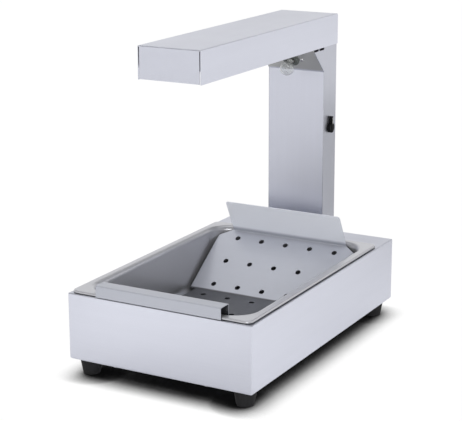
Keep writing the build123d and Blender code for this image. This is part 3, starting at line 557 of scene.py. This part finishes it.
def drawn_steel(name, colour, roughness, matt, low, high):
    """Deep drawn stainless: a fine even skin, with painted light on the rim and painted shade darker down
    to the floor.
    """
    finish = Finish(name)
    skin = finish.noise(900.0, 2.0)
    marks = finish.noise(9.0, 3.0)
    height = finish.axes()[2]
    # Painted shade: the pan is darker down towards its floor
    depth = finish.level(height, 0.0, 0.75, low, high)
    tone = finish.sum("ADD", depth, finish.level(finish.sum("ADD", skin, marks), 0.0, 0.25, 0.7, 1.3))
    paint = finish.shades(tone, colour, 0.86, 1.03)
    # Painted light on the top of the pan's rim
    rim_lit = finish.level(height, 0.0, 1.0, high - RIM_LIGHT_DEPTH, high)
    paint = finish.blend(rim_lit, paint, tinted(colour, RIM_PAINTED_LIGHT))
    finish.surface(
        # Painted shade in the pan's crevices
        Base_Color=finish.blend(finish.hollow(*PAN_CREVICE), tinted(colour, CREVICE_SHADE), paint),
        Metallic=1 - matt, Roughness=finish.about(marks, roughness, 0.02, 0.03),
    )
    finish.bump(skin, 0.03, 0.2 * MM)
    return finish.material


def plain_metal(name, colour, roughness, cell, wear=0.05, relief=0.08):
    """A plated, turned or rolled metal with a fine skin."""
    finish = Finish(name)
    skin = finish.noise(1 / cell, 3.0)
    marks = finish.noise(0.12 / cell, 2.0)
    finish.surface(
        Base_Color=finish.shades(finish.level(marks, 0.0, 1.0), colour, 1 - wear, 1 + wear),
        Metallic=1.0, Roughness=finish.about(skin, roughness, 0.05, 0.06),
    )
    finish.bump(skin, relief, cell / 4)
    return finish.material


def moulded(name, colour, roughness, cell, spread=0.25, relief=0.10, gloss=0.5):
    """A moulded plastic, rubber or ceramic with a fine texture and a slight bloom."""
    finish = Finish(name)
    skin = finish.noise(1 / cell, 3.0)
    bloom = finish.noise(0.03 / cell, 3.0)
    finish.surface(
        Base_Color=finish.shades(finish.level(bloom, 0.0, 1.0), colour, 1 - spread, 1 + spread),
        Roughness=finish.about(skin, roughness, 0.06, 0.07), Specular_IOR_Level=gloss,
    )
    finish.bump(skin, relief, cell / 3)
    return finish.material


def heated_sheath(name, colour):
    """The element's sheath: oxidised, with patches of heat tint along the hairpin."""
    finish = Finish(name)
    patches = finish.noise(22.0, 3.0, (1.0, 0.5, 1.0))
    skin = finish.noise(2200.0, 2.0)
    finish.surface(
        Base_Color=finish.blend(finish.level(patches, 0.0, 1.0), tinted(colour, 0.7), HEAT_TINT),
        Metallic=0.75, Roughness=finish.about(skin, 0.50, 0.08, 0.08),
    )
    finish.bump(skin, 0.12, 0.2 * MM)
    return finish.material


def ringed_cap(name, colour):
    """The lamp cap: plated, with rolled rings about the lamp's axis."""
    finish = Finish(name)
    turn = finish.add("ShaderNodeMapping")
    finish.fill(turn, Vector=finish.coords, Rotation=(math.radians(45), 0, 0))
    rings = finish.add("ShaderNodeTexWave", bands_direction="Y")
    finish.fill(rings, Vector=turn.outputs["Vector"], Scale=45.0, Distortion=0.0)
    stain = finish.noise(300.0, 2.0)
    finish.surface(
        Base_Color=finish.shades(finish.level(stain, 0.0, 1.0), colour, 0.85, 1.1),
        Metallic=1.0, Roughness=finish.about(stain, 0.30, 0.06, 0.06),
    )
    finish.bump(rings.outputs["Fac"], 0.6, 0.4 * MM)
    return finish.material


def hazy_glass(name, tint, haze, body):
    """Blown glass with a haze and a hair of unevenness."""
    finish = Finish(name)
    ripple = finish.noise(120.0, 1.0)
    finish.surface(
        Base_Color=finish.shades(finish.level(ripple, 0.0, 1.0), tint, 0.97, 1.0),
        Roughness=finish.about(ripple, haze, 0.0, 0.06), Transmission_Weight=1 - body, IOR=1.46,
    )
    finish.bump(ripple, 0.03, 0.5 * MM)
    return finish.material


def braided_sleeve(name, colour):
    """Glass fibre sleeve: two crossing lays of yarn."""
    finish = Finish(name)
    lays = []
    for direction in ("X", "Z"):
        lay = finish.add("ShaderNodeTexWave", bands_direction=direction)
        finish.fill(lay, Vector=finish.coords, Scale=260.0, Distortion=1.5)
        lays.append(lay.outputs["Fac"])
    weave = finish.sum("MULTIPLY", *lays)
    finish.surface(
        Base_Color=finish.shades(weave, colour, 0.75, 1.08),
        Roughness=finish.level(weave, 0.75, 0.9, 0.0, 1.0),
    )
    finish.bump(weave, 0.4, 0.3 * MM)
    return finish.material


def dress(material, *nodes):
    """Puts one finish on CAD nodes."""
    for node in nodes:
        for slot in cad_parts[node].material_slots:
            slot.material = material


# Operators

class WARMER_OT_casing(bpy.types.Operator):
    """Finish the base casing, each panel with its grain along its length."""

    bl_idname = "warmer.casing"
    bl_label = "Base Casing"

    def execute(self, context):
        steel = context.scene.warmer_steel
        across = casing_steel("satin_casing_across", "X", steel)
        dress(across, "base_front_panel", "base_rear_panel", "base_floor")
        along = casing_steel("satin_casing_along", "Y", steel)
        dress(along, "base_left_panel", "base_right_panel")
        return {"FINISHED"}


class WARMER_OT_column(bpy.types.Operator):
    """Finish the column's sheets and foot plate, and the head's bulkhead."""

    bl_idname = "warmer.column"
    bl_label = "Column"

    def execute(self, context):
        steel = context.scene.warmer_steel
        dress(casing_steel("satin_column", "Z", steel), "column_rear_cover")
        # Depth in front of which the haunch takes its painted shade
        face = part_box("column_front_panel")[0][1] + context.scene.warmer_details.haunch
        # The column's front takes a lighter copy of the casing colour as painted light
        colour, roughness = steel.column_painted_light, steel.column_roughness
        front = satin_steel("satin_column_front", colour, roughness, "Z", steel, haunch_shade=face)
        dress(front, "column_front_panel")
        # Painted shade: the column's sides take a darker copy of the casing colour
        shaded_sides = tinted(steel.casing_colour, steel.side_shade)
        sides = satin_steel("satin_column_sides", shaded_sides, steel.casing_roughness, "Z", steel)
        dress(sides, "column_left_panel", "column_right_panel")
        dress(casing_steel("satin_foot_plate", "X", steel), "column_foot_plate", "head_bulkhead")
        return {"FINISHED"}


class WARMER_OT_head(bpy.types.Operator):
    """Finish the head's folded tray."""

    bl_idname = "warmer.head"
    bl_label = "Head"

    def execute(self, context):
        dress(casing_steel("satin_head", "Y", context.scene.warmer_steel), "head_shell")
        return {"FINISHED"}


class WARMER_OT_pan(bpy.types.Operator):
    """Finish the fry pan and the perforated drain insert."""

    bl_idname = "warmer.pan"
    bl_label = "Pan and Insert"

    def execute(self, context):
        steel = context.scene.warmer_steel
        low, high = corners("fry_pan")
        colour, roughness = steel.pan_colour, steel.pan_roughness
        dress(drawn_steel("drawn_pan", colour, roughness, steel.pan_matt, low.z, high.z), "fry_pan")
        details = context.scene.warmer_details
        low, _ = corners("drain_insert")
        # Where the painted shade on the insert's floor and on its hook ends
        floor, hook = low.z + details.floor_shade_height, low.y + details.hook_reach
        painted_shading = (floor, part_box("base_rear_panel")[1][2], hook)
        colour, roughness = steel.insert_colour, steel.insert_roughness
        dress(satin_steel("satin_insert", colour, roughness, "X", steel, painted_shading), "drain_insert")
        return {"FINISHED"}


class WARMER_OT_feet(bpy.types.Operator):
    """Finish the moulded rubber feet."""

    bl_idname = "warmer.feet"
    bl_label = "Feet"

    def execute(self, context):
        colour = context.scene.warmer_fittings.rubber
        rubber = moulded("foot_rubber_moulded", colour, 0.72, 0.9 * MM, gloss=0.3)
        dress(rubber, "foot_front_left", "foot_front_right", "foot_rear_left", "foot_rear_right")
        return {"FINISHED"}


class WARMER_OT_screws(bpy.types.Operator):
    """Model the cross recess screws, and finish the bolts, the nuts and the earth stud."""

    bl_idname = "warmer.screws"
    bl_label = "Screws"

    def execute(self, context):
        colours = context.scene.warmer_fittings
        plated = plain_metal("plated_screws", colours.fastener, 0.26, 0.8 * MM)
        screw = screw_mesh(context.scene.warmer_details)
        for node, places in (
            ("rear_cover_screws", self.cover_places()),
            ("head_screws", self.head_places()),
            ("floor_screws", self.floor_places()),
            ("lamp_screws", self.lamp_places()),
        ):
            mesh = scattered(screw, places, node)
            piece(node + "_cross", mesh, plated, "base", (node,))
        bpy.data.meshes.remove(screw)
        bolts = plain_metal("plated_bolts", colours.fastener, 0.30, 0.8 * MM)
        dress(bolts, "column_bolts", "column_nuts", "foot_screws", "foot_nuts", "switch_nut")
        dress(plain_metal("turned_brass", colours.brass, 0.30, 0.8 * MM), "earth_stud")
        return {"FINISHED"}

    def middles(self, node):
        """The middles of the outermost screws of a node."""
        low, high = corners(node)
        radius = Vector((SCREW_HEAD[-1][0] * MM,) * 3)
        return low + radius, high - radius

    def upright(self, sheet, columns, rows, start, step):
        """Places on a sheet's rear face, each screw turned a step further."""
        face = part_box(sheet)[1][1]
        spots = enumerate(product(columns, rows))
        return [facing((x, face, z), (0, 1, 0), start + step * i) for i, (x, z) in spots]

    def cover_places(self):
        """Three screws down each side of the rear cover."""
        low, high = self.middles("rear_cover_screws")
        rows = (low.z, (low.z + high.z) / 2, high.z)
        return self.upright("column_rear_cover", (low.x, high.x), rows, 0.0, 0.7)

    def head_places(self):
        """Four screws in the head's rear wall."""
        low, high = self.middles("head_screws")
        return self.upright("head_shell", (low.x, high.x), (low.z, high.z), 0.5, 0.9)

    def floor_places(self):
        """Two screws along each side of the base floor, a quarter of the base from its middle."""
        low, high = self.middles("floor_screws")
        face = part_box("base_floor")[0][2]
        wide, deep = ((end - start) / 4 for start, end in zip(CAD_BOX[0][:2], CAD_BOX[1][:2]))
        spots = [*product((-wide, wide), (low.y, high.y)), *product((low.x, high.x), (-deep, deep))]
        return [facing((x, y, face), -UP, 0.8 * i) for i, (x, y) in enumerate(spots)]

    def lamp_places(self):
        """One screw on each side of the lamp's ring."""
        low, high = self.middles("lamp_screws")
        seat = lamp_seat()
        turn = 1.1 / (SCREW_HEAD[-1][0] * MM)
        return [facing((x, seat.y, seat.z), LAMP_AIM, turn * x) for x in (low.x, high.x)]


class WARMER_OT_lamp(bpy.types.Operator):
    """Finish the lamp and model the stem, posts and filament inside its glass."""

    bl_idname = "warmer.lamp"
    bl_label = "Lamp"

    def execute(self, context):
        colours = context.scene.warmer_fittings
        dress(hazy_glass("blown_glass", colours.bulb, 0.05, 0.10), "lamp_bulb")
        dress(ringed_cap("rolled_cap", colours.lamp_cap), "lamp_cap")
        dress(moulded("lamp_ring_moulded", colours.lamp_ring, 0.50, 0.6 * MM), "lamp_ring")
        dress(moulded("holder_steatite", colours.ceramic, 0.40, 1.0 * MM, spread=0.08), "lamp_holder")
        glass = hazy_glass("stem_glass", colours.bulb, 0.02, 0.0)
        metal = plain_metal("drawn_tungsten", TUNGSTEN, 0.35, 0.4 * MM)
        axis = facing(lamp_seat(), LAMP_AIM)
        for name, bm, finish, slot in (
            ("lamp_stem", spun(LAMP_STEM, 20), glass, "bulb_glass"),
            ("lamp_filament", filament(context.scene.warmer_details), metal, "shaft_steel"),
        ):
            bmesh.ops.transform(bm, matrix=axis, verts=bm.verts)
            piece(name, as_mesh(bm, name), finish, "base")
        return {"FINISHED"}


class WARMER_OT_knob(bpy.types.Operator):
    """Finish the pointer knob and lay the filled line on it."""

    bl_idname = "warmer.knob"
    bl_label = "Knob"

    def execute(self, context):
        colours = context.scene.warmer_fittings
        details = context.scene.warmer_details
        dress(moulded("knob_phenolic", colours.phenolic, 0.52, 0.7 * MM, gloss=0.12), "switch_knob")
        dress(plain_metal("turned_shaft", colours.fastener, 0.28, 0.6 * MM), "switch_shaft")
        low, high = corners("switch_knob")
        thickness, bevel, proud, margin = 0.3 * MM, 0.12 * MM, 0.02 * MM, 2.2 * MM
        bm = bmesh.new()
        verts = bmesh.ops.create_cube(bm, size=1.0)["verts"]
        bmesh.ops.scale(bm, verts=verts, vec=(thickness, details.line_width, details.line_length))
        bmesh.ops.bevel(
            bm, geom=bm.edges[:], offset=bevel, offset_type="OFFSET", affect="EDGES",
            segments=2, profile=0.5, material=-1,
        )
        middle = high.z - margin - details.line_length / 2
        bmesh.ops.translate(bm, verts=bm.verts, vec=(high.x + proud, (low.y + high.y) / 2, middle))
        paint = moulded("line_enamel", colours.index_line, 0.45, 0.6 * MM, spread=0.05)
        piece("knob_index_line", as_mesh(bm, "knob_index_line"), paint, "knob")
        return {"FINISHED"}


class WARMER_OT_heater(bpy.types.Operator):
    """Finish the reflector, the heating element, its brackets and its bushes."""

    bl_idname = "warmer.heater"
    bl_label = "Heater"

    def execute(self, context):
        colours = context.scene.warmer_fittings
        rolled = plain_metal("rolled_aluminium", colours.aluminium, 0.20, 4.0 * MM, wear=0.03, relief=0.05)
        dress(rolled, "reflector")
        dress(heated_sheath("oxidised_sheath", colours.sheath), "heating_element")
        plated = plain_metal("plated_brackets", colours.bracket, 0.34, 1.0 * MM, wear=0.08)
        dress(plated, "element_bracket_front", "element_bracket_rear")
        dress(moulded("bush_steatite", colours.ceramic, 0.40, 1.0 * MM, spread=0.08), "element_bushes")
        return {"FINISHED"}


class WARMER_OT_gland(bpy.types.Operator):
    """Finish the cable gland and its lock nut."""

    bl_idname = "warmer.gland"
    bl_label = "Cable Gland"

    def execute(self, context):
        nylon = moulded("gland_nylon", context.scene.warmer_fittings.nylon, 0.48, 0.6 * MM)
        dress(nylon, "cable_gland", "gland_locknut")
        return {"FINISHED"}


class WARMER_OT_wiring(bpy.types.Operator):
    """Finish what sits inside the column: switch body, terminals and leads."""

    bl_idname = "warmer.wiring"
    bl_label = "Switch and Wiring"

    def execute(self, context):
        colours = context.scene.warmer_fittings
        dress(moulded("switch_moulding", colours.moulding, 0.45, 0.8 * MM), "rotary_switch")
        polyamide = moulded("terminal_polyamide", colours.terminal, 0.45, 1.0 * MM, spread=0.05)
        dress(polyamide, "terminal_block")
        sleeve = braided_sleeve("lead_sleeve", colours.sleeve)
        dress(sleeve, "switch_lead", "element_leads", "lamp_leads")
        return {"FINISHED"}


# Places and sizes of the soft boxes, the flag and the pools of light, in metres
SOFT_BOXES = {
    "soft_key": ((-1.5, -2.5, 0.9), (1.6, 1.4)),
    "soft_fill": ((1.4, -2.6, 0.6), (1.6, 1.0)),
    "soft_top": ((0.0, 0.1, 2.4), (3.6, 1.8)),
}
LIT_POINT = Vector((0, 0, 0.2))
FLAG_PLACE, FLAG_SIZE = (0.375, 0.74, 0.15), (0.35, 0.30)
POOL_FRONT = ((-0.25, -0.74), 0.08, 0.48)
POOL_RIGHT = ((0.28, -0.06), 0.10, 0.70)
POOL_RIGHT_RISE = (-0.32, -0.20)
POOL_REAR_RISE, POOL_REAR_FALL = (1.0, 2.0), (2.0, 9.0)
# Where the front wall turns into the rear one, and where the walls turn into the ceiling
WALL_TURN, CEILING_START = (-0.4, 0.4), (0.30, 0.70)


class WARMER_OT_stage(bpy.types.Operator):
    """Set the pale floor, the room, the soft boxes and the camera."""

    bl_idname = "warmer.stage"
    bl_label = "Stage"

    def execute(self, context):
        stage = context.scene.warmer_stage
        context.scene.view_settings.view_transform = "Standard"
        self.lay_floor(context, stage)
        self.fill_room(context, stage)
        self.stand_flag(context, stage)
        powers = (stage.key_power, stage.fill_power, stage.top_power)
        for (name, (place, size)), power in zip(SOFT_BOXES.items(), powers):
            self.hang_lamp(context, name, place, size, power)
        self.stand_camera(context, stage)
        return {"FINISHED"}

    def stand_camera(self, context, stage):
        """The camera at the photograph's viewing angle."""
        camera = bpy.data.cameras.new("photo_camera")
        camera.sensor_fit = "HORIZONTAL"
        camera.sensor_width = 36.0
        camera.lens = stage.lens
        yaw, down, roll = stage.camera_turn
        holder = bpy.data.objects.new("photo_camera", camera)
        holder.matrix_world = (
            Matrix.Translation(stage.camera_place) @ Matrix.Rotation(yaw, 4, "Z")
            @ Matrix.Rotation(math.pi / 2 - down, 4, "X") @ Matrix.Rotation(roll, 4, "Z")
        )
        context.collection.objects.link(holder)
        context.scene.camera = holder

    def put(self, context, bm, name):
        """An object of the stage from a bmesh."""
        mesh = bpy.data.meshes.new(name)
        bm.to_mesh(mesh)
        bm.free()
        obj = bpy.data.objects.new(name, mesh)
        context.collection.objects.link(obj)
        return obj

    def lay_floor(self, context, stage):
        """A matt white floor that shows as white to the camera, with a painted contact shadow."""
        bm = bmesh.new()
        bmesh.ops.create_circle(bm, cap_ends=True, segments=96, radius=stage.floor_radius)
        floor = self.put(context, bm, "studio_floor")
        paint = Finish("floor_white")
        path = paint.add("ShaderNodeLightPath").outputs
        seen = paint.seen(path)
        # The camera sees the floor's glow darkened by the painted contact shadow
        shown = paint.sum("MULTIPLY", seen, self.contact(paint, stage))
        mirrored = paint.sum("MULTIPLY", path["Is Glossy Ray"], self.pools(paint, stage))
        matt = paint.add("ShaderNodeBsdfDiffuse")
        paint.fill(matt, Color=paint.level(seen, stage.floor_paint, 0.01, 0.0, 1.0))
        glow = paint.add("ShaderNodeEmission")
        paint.fill(glow, Strength=paint.sum("ADD", shown, mirrored))
        both = paint.add("ShaderNodeAddShader")
        for socket, part in zip(both.inputs, (matt.outputs["BSDF"], glow.outputs["Emission"])):
            paint.feed(socket, part)
        paint.show(both.outputs["Shader"])
        floor.data.materials.append(paint.material)

    def contact(self, paint, stage):
        """The painted contact shadow on the floor: 0 where it is black, 1 in the open."""
        x, _, _ = paint.axes()
        sideways = paint.sum("SUBTRACT", paint.sum("MULTIPLY", x, stage.shadow_side), stage.shadow_left)
        lean = paint.add("ShaderNodeCombineXYZ")
        paint.fill(lean, X=sideways, Y=stage.shadow_back, Z=1.0)
        aim = paint.add("ShaderNodeVectorMath", operation="NORMALIZE")
        paint.feed(aim.inputs[0], lean.outputs["Vector"])
        nearby = paint.add("ShaderNodeAmbientOcclusion", samples=16)
        paint.fill(nearby, Distance=stage.shadow_reach, Normal=aim.outputs["Vector"])
        open_share = paint.level(nearby.outputs["AO"], 0.0, 1.0, stage.shadow_start, 1.0)
        return paint.sum("POWER", open_share, stage.shadow_fall)

    def pools(self, paint, stage):
        """The level of the pools of light that the steel mirrors from the floor."""
        x, y, _ = paint.axes()
        away = paint.sum("ADD", x, y)
        rear = paint.level(away, 0.0, stage.pool_rear, *POOL_REAR_RISE)
        rear = paint.sum("MULTIPLY", rear, paint.level(away, 1.0, 0.0, *POOL_REAR_FALL))
        front = self.pool(paint, stage.pool_front, *POOL_FRONT)
        right = self.pool(paint, stage.pool_right, *POOL_RIGHT)
        right = paint.sum("MULTIPLY", right, paint.level(y, 0.0, 1.0, *POOL_RIGHT_RISE))
        return paint.sum("ADD", rear, paint.sum("ADD", front, right))

    def pool(self, paint, level, middle, inner, outer):
        """A soft round pool of light on the floor."""
        away = paint.add("ShaderNodeVectorMath", operation="DISTANCE")
        paint.feed(away.inputs[0], paint.coords)
        paint.feed(away.inputs[1], (*middle, 0.0))
        return paint.level(away.outputs["Value"], level, 0.0, inner, outer)

    def stand_flag(self, context, stage):
        """A grey flag behind the right rear corner that shows only in the steel."""
        bm = bmesh.new()
        stand = facing(FLAG_PLACE, (0, -1, 0)) @ Matrix.Diagonal((*FLAG_SIZE, 1, 1))
        bmesh.ops.create_grid(bm, x_segments=1, y_segments=1, size=0.5, matrix=stand)
        flag = self.put(context, bm, "grey_flag")
        flag.visible_camera = flag.visible_diffuse = False
        flag.visible_transmission = flag.visible_shadow = False
        cloth = Finish("flag_grey")
        glow = cloth.add("ShaderNodeEmission")
        cloth.fill(glow, Strength=stage.flag_level)
        cloth.show(glow.outputs["Emission"])
        flag.data.materials.append(cloth.material)

    def fill_room(self, context, stage):
        """A room with pale walls and a dimmer ceiling, and a plain level on matt surfaces."""
        world = bpy.data.worlds.new("studio_room")
        context.scene.world = world
        world.use_nodes = True
        world.node_tree.nodes.clear()
        room = Nodes(world.node_tree, "Generated")
        _, y, z = room.axes()
        walls = room.level(y, stage.wall_front, stage.wall_rear, *WALL_TURN)
        mirrored = room.level(z, walls, stage.ceiling_level, *CEILING_START, rise="SMOOTHSTEP")
        path = room.add("ShaderNodeLightPath").outputs
        lit = room.level(path["Is Diffuse Ray"], mirrored, stage.room_light, 0.0, 1.0)
        backdrop = room.add("ShaderNodeBackground")
        room.fill(
            backdrop, Color=(1.0, 1.0, 1.0, 1.0), Strength=room.level(room.seen(path), lit, 1.0, 0.0, 1.0)
        )
        room.fill(room.add("ShaderNodeOutputWorld"), Surface=backdrop.outputs["Background"])

    def hang_lamp(self, context, name, place, size, power):
        """A soft box of a width and a height that faces the object."""
        light = bpy.data.lights.new(name, "AREA")
        light.shape = "RECTANGLE"
        light.size, light.size_y = size
        light.energy = power
        lamp = bpy.data.objects.new(name, light)
        lamp.matrix_world = facing(place, Vector(place) - LIT_POINT)
        context.collection.objects.link(lamp)


STEPS = (
    "casing", "column", "head", "pan", "feet", "screws",
    "lamp", "knob", "heater", "gland", "wiring", "stage",
)


class WARMER_PT_panel(bpy.types.Panel):
    """Lists the settings and the steps."""

    bl_idname = "WARMER_PT_panel"
    bl_label = "Fry Warmer"
    bl_space_type = "VIEW_3D"
    bl_region_type = "UI"
    bl_category = "Warmer"

    def draw(self, context):
        for name in GROUPS:
            group = getattr(context.scene, name)
            box = self.layout.box()
            for key in group.__annotations__:
                box.prop(group, key)
        column = self.layout.column(align=True)
        for step in STEPS:
            column.operator("warmer." + step)


GROUPS = {
    "warmer_steel": WarmerSteel,
    "warmer_fittings": WarmerFittings,
    "warmer_details": WarmerDetails,
    "warmer_stage": WarmerStage,
}
CLASSES = (
    *GROUPS.values(), WARMER_OT_casing, WARMER_OT_column, WARMER_OT_head, WARMER_OT_pan,
    WARMER_OT_feet, WARMER_OT_screws, WARMER_OT_lamp, WARMER_OT_knob, WARMER_OT_heater,
    WARMER_OT_gland, WARMER_OT_wiring, WARMER_OT_stage, WARMER_PT_panel,
)


def register():
    """Adds the classes and their settings to Blender."""
    for cls in CLASSES:
        bpy.utils.register_class(cls)
    for name, group in GROUPS.items():
        setattr(bpy.types.Scene, name, PointerProperty(type=group))


def unregister():
    """Takes the settings and the classes away."""
    for name in GROUPS:
        delattr(bpy.types.Scene, name)
    for cls in reversed(CLASSES):
        bpy.utils.unregister_class(cls)


def main():
    """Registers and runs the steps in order."""
    register()
    for step in STEPS:
        getattr(bpy.ops.warmer, step)()


if __name__ == "__main__":
    main()
